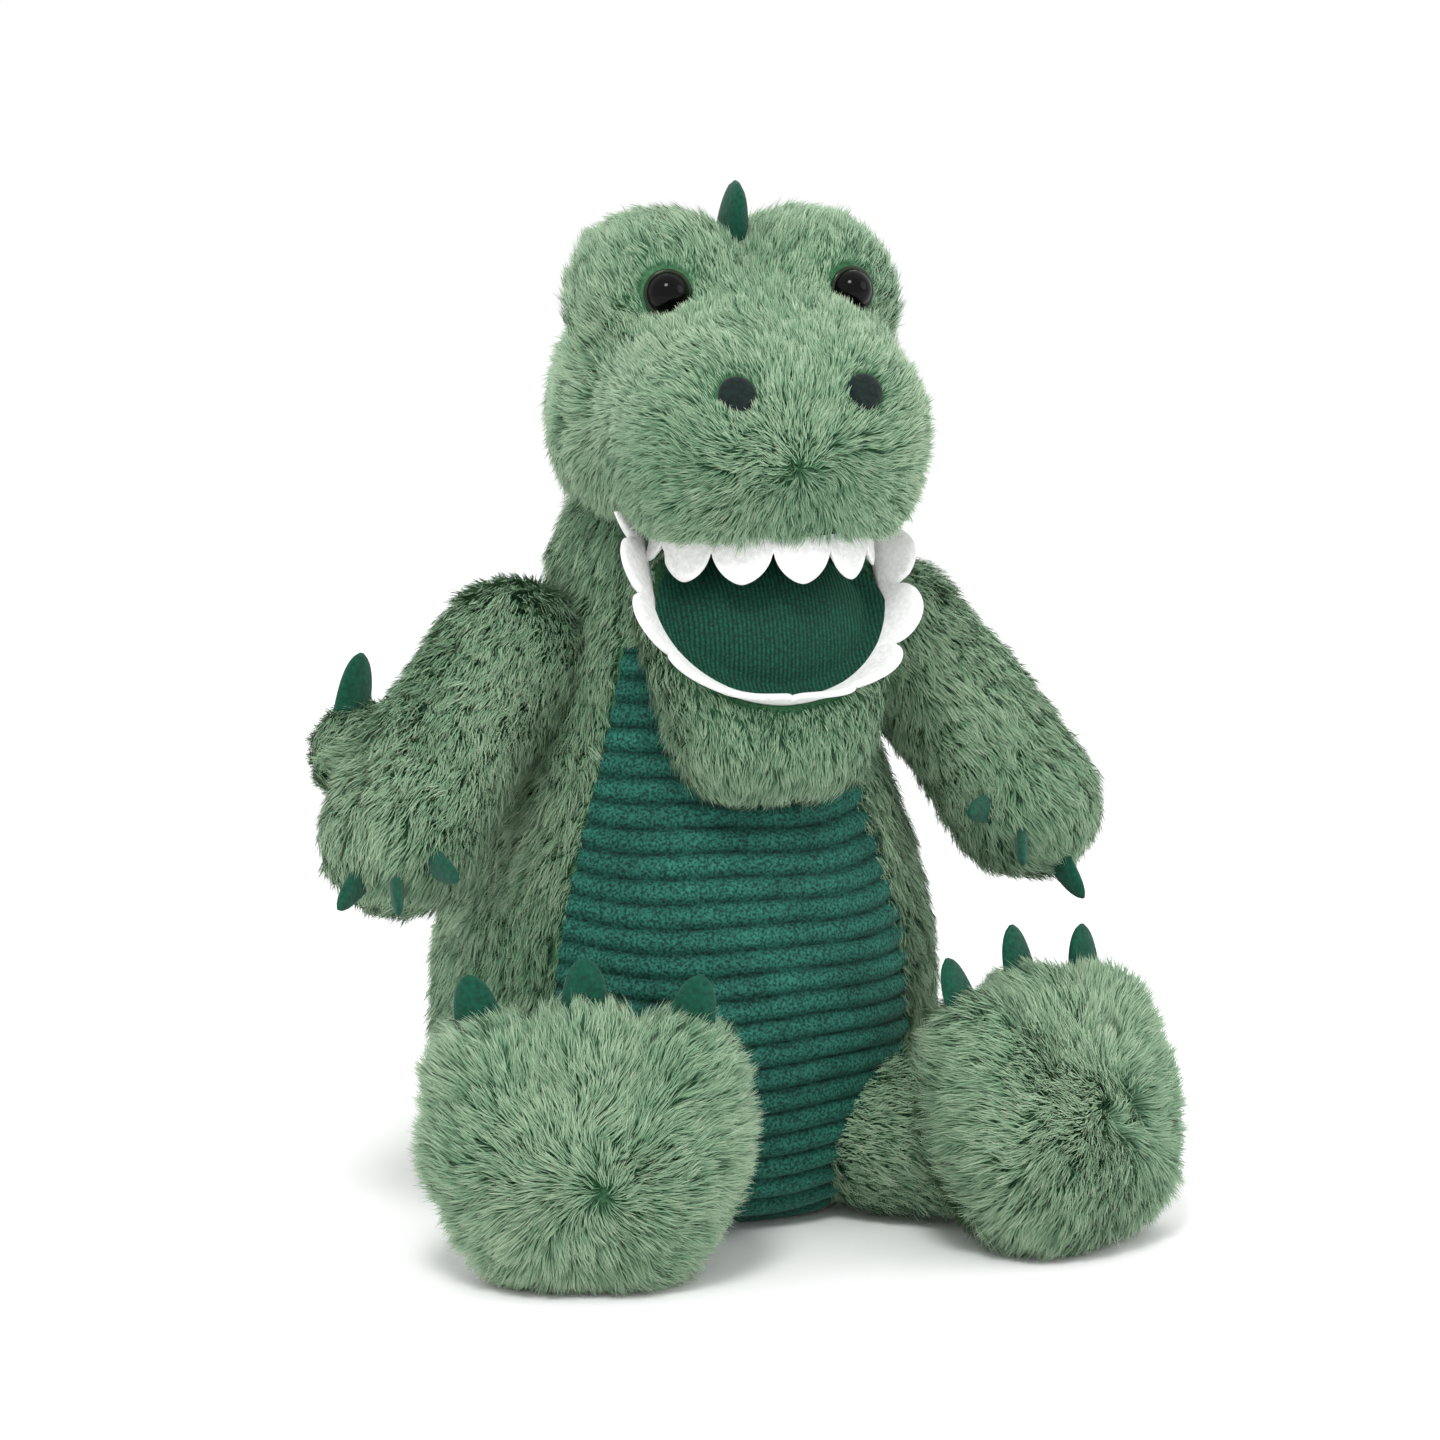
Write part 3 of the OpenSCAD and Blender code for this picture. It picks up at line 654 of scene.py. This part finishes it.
# Upper teeth hang from an arc inside the lip, one to every 30 degrees, and shrink at its ends
UPPER_R, TOOTH_DEG = 30.5, 30
ang = np.radians(np.linspace(-84, 84, 260))
deg = np.degrees(ang)
local = ((deg - 6 + TOOTH_DEG / 2) % TOOTH_DEG - TOOTH_DEG / 2) / (TOOTH_DEG / 2)
tall = scallop(local, 3.0, 13.5, 1.6)
tall *= np.where(deg > 54, 0.85, 1.0) * np.where(deg < -66, 0.7, 1.0)
outs = np.stack([np.sin(ang), -np.cos(ang), 0 * ang], 1)
path = np.array([MID, -43, LIP_Z + 1.0]) + outs * UPPER_R
upper = strip("upper_teeth_felt", path, outs, np.array([0, 0, -1.0]), tall + 2.5, 2.2, 2.5)
dress(upper, WHITE, "head", "white_felt", "upper_teeth")

# Lower teeth follow a U round the jaw's rim: two straight sides and a half circle
LOWER_R, SIDE_L = 33.0, 22.0
straight = np.linspace(0, 1, 50)
right = np.stack([np.full(50, -LOWER_R), -straight * SIDE_L + 1, np.zeros(50)], 1)
arc_a = np.radians(np.linspace(-90, 90, 240))
arc = np.stack([LOWER_R * np.sin(arc_a), -SIDE_L - LOWER_R * np.cos(arc_a), np.zeros(240)], 1)
left = np.stack([np.full(50, LOWER_R), straight * SIDE_L - SIDE_L + 1, np.zeros(50)], 1)
jp = np.vstack([right[:-1], arc, left[1:]])
seg = np.linalg.norm(np.diff(jp, axis=0), axis=1)
along = np.concatenate([[0], np.cumsum(seg)])
pitch = LOWER_R * math.radians(TOOTH_DEG)
local = (((along - along[-1] / 2) / pitch) % 1.0) * 2 - 1
tall = scallop(local, 2.2, 10.5, 1.8)
tan = unit(np.gradient(jp, axis=0))
jo = np.stack([tan[:, 1], -tan[:, 0], 0 * tan[:, 0]], 1)
jo *= np.sign(np.sum(jo * (jp - np.array([0, -SIDE_L, 0])), axis=1, keepdims=True))
jo = jo @ rot("X", JAW_DEG).T
lean_out = (0.15 + 0.75 * np.abs(jp[:, :1]) / LOWER_R) * jo
lower = strip("lower_teeth_felt", jaw_to_world(jp), jo, unit(rim_up + lean_out), tall + 2.5, 2.0, 1.0)
dress(lower, WHITE, "jaw", "white_felt", "lower_teeth")

# The lining: a tongue-like cushion inside the lower teeth, and a flat roof
n_r, n_a = 26, 72
verts = []
for i in range(n_r + 1):
    q = i / n_r
    for k in range(n_a):
        a = 2 * math.pi * k / n_a
        x = 33.6 * math.cos(a) * q
        y = -27 + (27 if math.sin(a) > 0 else 28.5) * math.sin(a) * q
        x *= 1 - 0.12 * max(0, math.sin(a)) * q
        bulge = 9 * max(0, 1 - (q * 1.25) ** 2.4) - 0.8 * math.exp(-((q - 0.84) / 0.07) ** 2)
        verts.append(jaw_to_world((x, y, bulge + 2.2)))
lining = add_mesh("mouth_lining", verts, ring_faces(n_r, n_a))
fix_normals(lining)
dress(lining, VELOUR, "jaw", "velour", "mouth_floor")
verts = []
for i in range(9):
    for k in range(48):
        a = 2 * math.pi * k / 48
        q = i / 8
        y = -46 + (31 if math.sin(a) < 0 else 18) * math.sin(a) * q
        verts.append((MID + 33 * math.cos(a) * q, y, LIP_Z - 0.2 + 0.10 * (y + 60) - 1.6 * (1 - q * q)))
roof = add_mesh("mouth_roof_lining", verts, ring_faces(8, 48))
fix_normals(roof)
dress(roof, VELOUR, "head", "velour", "mouth_roof")


# ---------------------------------------------------------------- eyes and nostrils
for side, s in SIDES:
    m3 = rot("Z", s * 10) @ rot("X", 86)
    dome = [(6.0 * math.sin(t), 6.0 * math.cos(t) - 1.0) for t in np.linspace(0.02, 1.62, 22)][::-1]
    v, f = lathe([(5.0, -4.0)] + dome, 48)
    eye = add_mesh(f"eye_dome_{side}", v @ m3.T + EYE[s] + m3 @ np.array([0, 0, 1.6]), f)
    fix_normals(eye)
    dress(eye, BLACK, "head", "eye_plastic", f"eye_{side}")
    ring = [(6.0 + 0.8 * math.cos(t), 0.1 + 0.7 * math.sin(t)) for t in np.linspace(0, 2 * np.pi, 14)]
    v, f = lathe(ring, 48)
    rim = add_mesh(f"eye_rim_{side}", v @ m3.T + EYE[s] + m3 @ np.array([0, 0, 1.2]), f)
    fix_normals(rim)
    dress(rim, OLIVE, "head", "eye_plastic")

head_tree = tree_of(head)
NOSE = {}
for side, s in SIDES:
    aim = Vector((MID + s * 18, -150, 229 + 16))
    hit, nrm, _, _ = head_tree.ray_cast(aim, Vector((0, 1, -0.08)).normalized())
    nrm = np.array(nrm if nrm.y < 0 else -nrm)
    c = np.array(hit)
    NOSE[s] = c
    z = unit(nrm)
    x = unit(np.cross([0, 0, 1.0], z))
    m3 = np.stack([x, np.cross(z, x), z], 1)
    button = [(4.0, -2.5), (5.0, -1.0), (5.2, 0.6), (4.9, 1.5)]
    button += [(4.2, 2.1), (3.0, 2.4), (1.5, 2.5), (0.05, 2.5)]
    v, f = lathe(button, 48)
    patch = add_mesh(f"nostril_patch_{side}", v @ m3.T + c, f)
    fix_normals(patch)
    dress(patch, NOSTRIL, "head", "nostril_cloth", f"nostril_{side}")


# ---------------------------------------------------------------- claws and spikes
def leaf(w, h, t, bend=0.0, sharp=0.55):
    """A stuffed felt leaf, rooted at the origin, standing along z, broad across x."""
    rings, n = 14, 20
    verts = []
    for i in range(rings + 1):
        q = i / rings
        wide = w / 2 * (1 - 0.12 * q) * max(0.02, 1 - q ** 3.2) ** sharp
        deep = t / 2 * max(0.03, 1 - q ** 3.0) ** 0.5
        for k in range(n):
            a = 2 * math.pi * k / n
            verts.append((wide * math.cos(a), deep * math.sin(a) + bend * q * q, -2.5 + (h + 2.5) * q))
    faces = ring_faces(rings, n)
    faces.append([rings * n + k for k in range(n)])
    faces.append(list(range(n))[::-1])
    return np.array(verts), faces


def leaves(name, items, body, *nodes):
    verts, faces, n = [], [], 0
    for (v, f), m3, c in items:
        verts.append(v @ np.asarray(m3).T + c)
        faces += [[i + n for i in q] for q in f]
        n += len(v)
    ob = add_mesh(name, np.vstack(verts), faces)
    dress(ob, GREEN, body, "green_felt", *nodes)
    return ob


def along_matrix(d):
    d = unit(d)
    yaw = math.degrees(math.atan2(d[1], d[0]))
    pitch = math.degrees(math.atan2(math.hypot(d[0], d[1]), d[2]))
    return rot("Z", yaw) @ rot("Y", pitch)


turn90 = rot("Z", 90)
CLAWS = {
    -1: ((-0.67, -0.6, -0.45), (-0.24, -0.85, -0.47), (0.22, -0.95, -0.2)),
    1: ((0.3, -0.6, -0.74), (-0.35, -0.86, -0.36), (-0.75, -0.65, 0.05)),
}
items = []
for angle, h in ((-20, 25), (34, 18), (68, 16)):
    m3 = rot("X", -angle)
    items.append((leaf(17, h + 1, 9, sharp=0.3), m3 @ turn90, HEAD + m3 @ np.array([0, 0, HEAD_R - 1])))
leaves("head_spikes_felt", items, "head", "head_spikes")
items = []
for z in (70, 98, 126):
    at = np.array([NECK[0] * z / NECK[2], float(pear_r(z)) + 3 * z / NECK[2] - 1, z])
    items.append((leaf(15, 16, 6), rot("X", -60) @ turn90, at))
leaves("back_spikes_felt", items, "torso", "back_spikes")
items = []
for t in (0.3, 0.46, 0.62, 0.78, 0.92):
    d = tail_slope(t)
    sd = unit(np.cross(d, [0, 0, 1.0]))
    up = np.cross(sd, d)
    r = TAIL_R0 + (TAIL_R1 - TAIL_R0) * t ** 0.8
    items.append((leaf(14, 17, 6.5), along_matrix(up), bezier(np.array(t)) + up * (r - 1)))
leaves("tail_spikes_felt", items, "tail", "tail_spikes")
for side, s in SIDES:
    items = []
    for way in CLAWS[s]:
        m3 = along_matrix(np.array(way))
        items.append((leaf(9, 15, 4.0, bend=1.0), m3, HAND[s] + m3 @ np.array([0, 0, ARM_R - 0.5])))
    leaves(f"hand_claws_felt_{side}", items, "arm_" + side, f"hand_claws_{side}")
    fm = foot_matrix(s)[:3, :3]
    items = []
    for x, z in TOES:
        m3 = fm @ rot("Y", x * 0.5)
        at = foot_to_world(s, (x, -2, z)) + m3 @ np.array([0, 0, TOE_R - 1])
        items.append((leaf(13.5, 15.5, 5.0, bend=-1.5), m3, at))
    leaves(f"foot_claws_felt_{side}", items, "foot_" + side, f"foot_claws_{side}")


# ---------------------------------------------------------------- pile: each strand is a thin tapered ribbon
def skin_points(ob, count, rng):
    """Random points on a skin, count of them to each mm2, with the skin's smooth normals."""
    me = ob.data
    me.calc_loop_triangles()
    tri = np.empty(len(me.loop_triangles) * 3, np.int32)
    me.loop_triangles.foreach_get("vertices", tri)
    tri = tri.reshape(-1, 3)
    co = np.empty(len(me.vertices) * 3)
    me.vertices.foreach_get("co", co)
    co = co.reshape(-1, 3) / MM
    no = np.empty(len(me.vertices) * 3)
    me.vertices.foreach_get("normal", no)
    no = no.reshape(-1, 3)
    a, b, c = co[tri[:, 0]], co[tri[:, 1]], co[tri[:, 2]]
    area = np.linalg.norm(np.cross(b - a, c - a), axis=1) / 2
    n = int(count * area.sum())
    pick = rng.choice(len(tri), n, p=area / area.sum())
    u, v = rng.random(n), rng.random(n)
    flip = u + v > 1
    u[flip], v[flip] = 1 - u[flip], 1 - v[flip]
    w = np.stack([1 - u - v, u, v], 1)[..., None]
    t = tri[pick]
    p = (co[t] * w).sum(1)
    nn = unit((no[t] * w).sum(1))
    return p, nn


def pile(name, skin, body, flow, keep, density=3.0, length=8.0, lean=52, seed=1):
    """Strands all over a skin. flow combs them, and keep scales their length from point to point."""
    width, clump, pull = 0.34, 3.4, 0.25
    rng = np.random.default_rng(seed)
    p, n = skin_points(skin, density, rng)
    size = keep(p, n)
    ok = size > 0.05
    p, n, size = p[ok], n[ok], size[ok]
    f = flow(p, n)
    swirl = (0.32 * wave(p, 45, seed + 11) + 0.10 * wave(p, 13, seed + 12))[:, None] * np.cross(n, f)
    f = f + swirl
    f = unit(f - n * np.sum(f * n, 1, keepdims=True))
    warp = np.stack([wave(p, 17, seed + k) for k in (21, 22, 23)], 1) * 2.2
    cell = np.floor((p + warp) / clump).astype(np.int64)
    key = cell[:, 0] * 73856093 ^ cell[:, 1] * 19349663 ^ cell[:, 2] * 83492791
    _, inv = np.unique(key, return_inverse=True)
    groups = inv.max() + 1
    g_tilt = rng.normal(0, 6, groups)[inv]
    g_turn = rng.normal(0, 0.17, groups)[inv]
    g_len = np.clip(rng.normal(1, 0.10, groups), 0.7, 1.3)[inv]
    g_shade = rng.normal(0, 0.09, groups)[inv]
    count = len(p)
    tilt = lean + g_tilt + rng.normal(0, 11, count) + 8 * wave(p, 25, seed + 5)
    tilt = np.radians(np.clip(tilt, 12, 82))[:, None]
    turn = (g_turn + rng.normal(0, 0.22, count))[:, None]
    side = np.cross(n, f)
    ff = f * np.cos(turn) + side * np.sin(turn)
    size = size * g_len * np.clip(rng.normal(1, 0.13, count), 0.55, 1.35)
    ln = (length * size)[:, None]
    tip = p + ln * (n * np.cos(tilt) + ff * np.sin(tilt))
    mid = p + ln * 0.52 * unit(n * (np.cos(tilt) + 0.45) + ff * np.sin(tilt) * 0.75)
    total = np.bincount(inv, minlength=groups)[:, None]
    mean_tip = np.stack([np.bincount(inv, tip[:, k], groups) for k in range(3)], 1) / total
    mean_mid = np.stack([np.bincount(inv, mid[:, k], groups) for k in range(3)], 1) / total
    tip = tip * (1 - pull) + mean_tip[inv] * pull
    mid = mid * (1 - pull * 0.3) + mean_mid[inv] * pull * 0.3
    d = unit(tip - p)
    s0 = unit(np.cross(d, n))
    roll = rng.uniform(-0.9, 0.9, count)[:, None]
    s = s0 * np.cos(roll) + np.cross(d, s0) * np.sin(roll)
    w = (width * np.clip(rng.normal(1, 0.2, count), 0.5, 1.5) * np.minimum(1, size * 1.6))[:, None]
    root = p - n * 0.4
    strand = [root - s * w / 2, root + s * w / 2, mid - s * w * 0.43, mid + s * w * 0.43, tip]
    verts = np.stack(strand, 1).reshape(-1, 3) * MM
    verts[:, 2] = np.maximum(verts[:, 2], 0.00025)
    shade = np.clip(0.5 + g_shade + rng.normal(0, 0.19, count) + 0.18 * wave(p, 55, seed + 31), 0.01, 0.99)
    me = bpy.data.meshes.new(name)
    me.vertices.add(count * 5)
    me.vertices.foreach_set("co", verts.ravel())
    base = (np.arange(count) * 5)[:, None]
    loops = (base + np.array([[0, 1, 3, 2, 2, 3, 4]])).ravel()
    me.loops.add(count * 7)
    me.loops.foreach_set("vertex_index", loops.astype(np.int32))
    me.polygons.add(count * 2)
    start = (np.arange(count) * 7)[:, None] + np.array([[0, 4]])
    me.polygons.foreach_set("loop_start", start.ravel().astype(np.int32))
    me.update(calc_edges=True)
    me.shade_smooth()
    layer = me.uv_layers.new(name="OFBake")
    # v runs from root to tip; the pile material paints shade toward the root end with it.
    vv = np.tile(np.array([0.02, 0.02, 0.5, 0.5, 0.5, 0.5, 0.98]), count)
    uv = np.stack([np.repeat(shade, 7), vv], 1)
    layer.data.foreach_set("uv", uv.ravel())
    soft = unit(n * 0.85 + d * 0.35 + rng.normal(0, 0.10, (count, 3)))
    normal = me.attributes.new("custom_normal", "FLOAT_VECTOR", "POINT")
    normal.data.foreach_set("vector", np.repeat(soft, 5, 0).ravel())
    ob = bpy.data.objects.new(name, me)
    scene.collection.objects.link(ob)
    dress(ob, PILE, body, "pile_fur")
    return ob


def smooth01(x):
    x = np.clip(x, 0, 1)
    return x * x * (3 - 2 * x)


def depth_in_bar(p, a, b, r):
    ab = b - a
    t = np.clip(((p - a) @ ab) / (ab @ ab), 0, 1)[:, None]
    return r - np.linalg.norm(p - a - ab * t, axis=1)


def near(p, c, r0, r1):
    """0 within r0 of c, rising to 1 at r1."""
    return smooth01((np.linalg.norm(p - c, axis=1) - r0) / (r1 - r0))


def inside_torso(p, deep):
    x, y = NECK[0] * p[:, 2] / NECK[2], NECK[1] * p[:, 2] / NECK[2]
    return np.hypot(p[:, 0] - x, p[:, 1] - y) < pear_r(p[:, 2]) - deep


def torso_flow(p, n):
    out = p - np.array([8, 5, 0])
    out[:, 2] = 0
    return unit(out) * 0.25 + np.array([0, 0, -1.0])


def torso_keep(p, n):
    ang = np.degrees(np.arctan2(np.abs(p[:, 0]), -p[:, 1]))
    edge = ang - belly_half(p[:, 2])
    k = np.where((edge < 0.6) & (p[:, 2] < 165) & (p[:, 2] > 1.2), 0.0, 1.0)
    k *= 0.45 + 0.55 * smooth01(edge / 7)
    k = np.where((n[:, 2] < -0.5) & (p[:, 2] < 6), 0.22, k)
    for s in (-1, 1):
        k = np.where(depth_in_bar(p, SHOULDER[s], HAND[s], ARM_R) > 7, 0, k)
        k = np.where(depth_in_bar(p, HIP[s], ANKLE[s], LEG_R) > 6, 0, k)
    k = np.where(np.linalg.norm(p - HEAD, axis=1) < HEAD_R - 5, 0, k)
    k = np.where(np.linalg.norm(p - TAIL[0], axis=1) < TAIL_R0 - 5, 0, k)
    return k


pile("torso_pile", torso, "torso", torso_flow, torso_keep, length=7.6, lean=58, seed=3)


def head_flow(p, n):
    nose = np.array([MID, -86.0, 222.0])
    v = p - nose + 7 * np.stack([wave(p, 16, 71), 0 * p[:, 0], wave(p, 16, 72)], 1)
    v[:, 2] += 3
    front = smooth01((-48 - p[:, 1]) / 22)[:, None]
    back = unit(v * np.array([0.8, 1.0, 0.9]))
    brow = smooth01((p[:, 2] - 242) / 9) * smooth01((np.abs(p[:, 0] - MID) - 3) / 5)
    brow = (brow * smooth01((p[:, 1] + 50) / 5) * smooth01((2 - p[:, 1]) / 18))[:, None]
    up = np.stack([(p[:, 0] - MID) * 0.02, 0.25 + 0 * p[:, 0], 0.8 + 0 * p[:, 0]], 1)
    f = back * (0.4 + 0.6 * front) * (1 - brow) + up * brow
    low = smooth01((238 - p[:, 2]) / 30)[:, None] * (1 - 0.5 * front)
    behind = smooth01((p[:, 1] - 5) / 25)[:, None]
    return f + low * np.array([0, 0.25, -1.1]) + behind * np.array([0, 0, -1.3])


def head_keep(p, n):
    k = np.ones(len(p))
    snout = smooth01((-34 - p[:, 1]) / 22)
    k *= 1 - 0.18 * snout
    for s in (-1, 1):
        k *= 0.42 + 0.58 * near(p, EYE[s] + np.array([0, 2, 0]), 7.5, 17)
        k = np.where(np.linalg.norm(p - EYE[s], axis=1) < 7.4, 0, k)
        d = np.linalg.norm(p - NOSE[s], axis=1)
        k *= 0.5 + 0.5 * smooth01((d - 5) / 7)
        k = np.where(d < 5.0, 0, k)
    flat = (n[:, 2] < -0.8) & (p[:, 2] < LIP_Z + 4) & (p[:, 1] < -26)
    inner = ((p[:, 0] - MID) / 32) ** 2 + ((p[:, 1] + 46) / 31) ** 2 < 1
    k = np.where(flat & inner, 0, k)
    k = np.where(np.linalg.norm(p - NECK, axis=1) < NECK_R - 5, 0, k)
    return k


pile("head_pile", head, "head", head_flow, head_keep, length=7.2, lean=52, seed=5, density=3.2)


def jaw_flow(p, n):
    c = jaw_to_world((0, -28, -14))
    v = p - c
    return unit(v) * 0.5 + np.array([0, -0.1, -1.0])


def jaw_keep(p, n):
    local = (p - JAW_HINGE) @ rot("X", JAW_DEG)
    under_teeth = (local[:, 0] / 34) ** 2 + ((local[:, 1] + 26) / 31) ** 2 < 1
    k = np.where(under_teeth & (n @ rim_up > 0.5) & (local[:, 2] > -3), 0.0, 1.0)
    k = np.where((local[:, 1] > -6) & (n[:, 1] > 0.2), 0.3, k)
    return k * (0.55 + 0.45 * smooth01(-local[:, 2] / 9))


pile("jaw_pile", jaw, "jaw", jaw_flow, jaw_keep, length=6.8, lean=55, seed=7, density=3.2)

for side, s in SIDES:
    d = unit(HAND[s] - SHOULDER[s])

    def arm_flow(p, n, d=d):
        return np.tile(d, (len(p), 1)) + np.array([0, 0, -0.35])

    def arm_keep(p, n):
        return np.where(inside_torso(p, 6), 0.0, 1.0)

    pile(f"arm_pile_{side}", arms[s], "arm_" + side, arm_flow, arm_keep, length=7.4, lean=54, seed=11 + s)
    dl = unit(ANKLE[s] - HIP[s])

    def leg_flow(p, n, dl=dl):
        return np.tile(dl, (len(p), 1)) + np.array([0, 0, -0.25])

    def leg_keep(p, n):
        return np.where(inside_torso(p, 6) | (p[:, 2] < 2.5) & (n[:, 2] < -0.5), 0.0, 0.9)

    pile(f"leg_pile_{side}", legs[s], "leg_" + side, leg_flow, leg_keep, length=7.0, lean=56, seed=15 + s)
    fm = foot_matrix(s)

    def foot_flow(p, n, fm=fm):
        q = (p - fm[:3, 3]) @ fm[:3, :3]
        v = q - np.array([0, 0, 32.0]) + 7 * np.stack([wave(p, 19, 81), 0 * p[:, 0], wave(p, 19, 82)], 1)
        v[:, 1] = 0
        face = smooth01((-q[:, 1] - 4) / 10)[:, None]
        out = unit(v) + np.array([0, 0.35, 0.15])
        return out @ fm[:3, :3].T * (0.5 + 0.5 * face) + np.array([0, 0, -0.15])

    def foot_keep(p, n, s=s):
        k = np.ones(len(p))
        k = np.where((p[:, 2] < 2.0) & (n[:, 2] < -0.8), 0.25, k)
        k = np.where(depth_in_bar(p, HIP[s], ANKLE[s], LEG_R) > 6, 0, k)
        return k

    pile(f"foot_pile_{side}", feet[s], "foot_" + side, foot_flow, foot_keep, lean=48, seed=19 + s)

t_line = np.linspace(0, 1, 60)
tail_line, tail_dir = bezier(t_line), tail_slope(t_line)


def tail_flow(p, n):
    at = np.argmin(((p[:, None, :] - tail_line[None]) ** 2).sum(2), 1)
    return tail_dir[at] + np.array([0, 0, -0.2])


def tail_keep(p, n):
    k = np.where((n[:, 1] < -0.9) & (p[:, 1] < 73), 0.0, 1.0)
    return np.where((p[:, 2] < 2.0) & (n[:, 2] < -0.8), 0.25, k)


pile("tail_pile", tail, "tail", tail_flow, tail_keep, length=7.6, lean=54, seed=23)
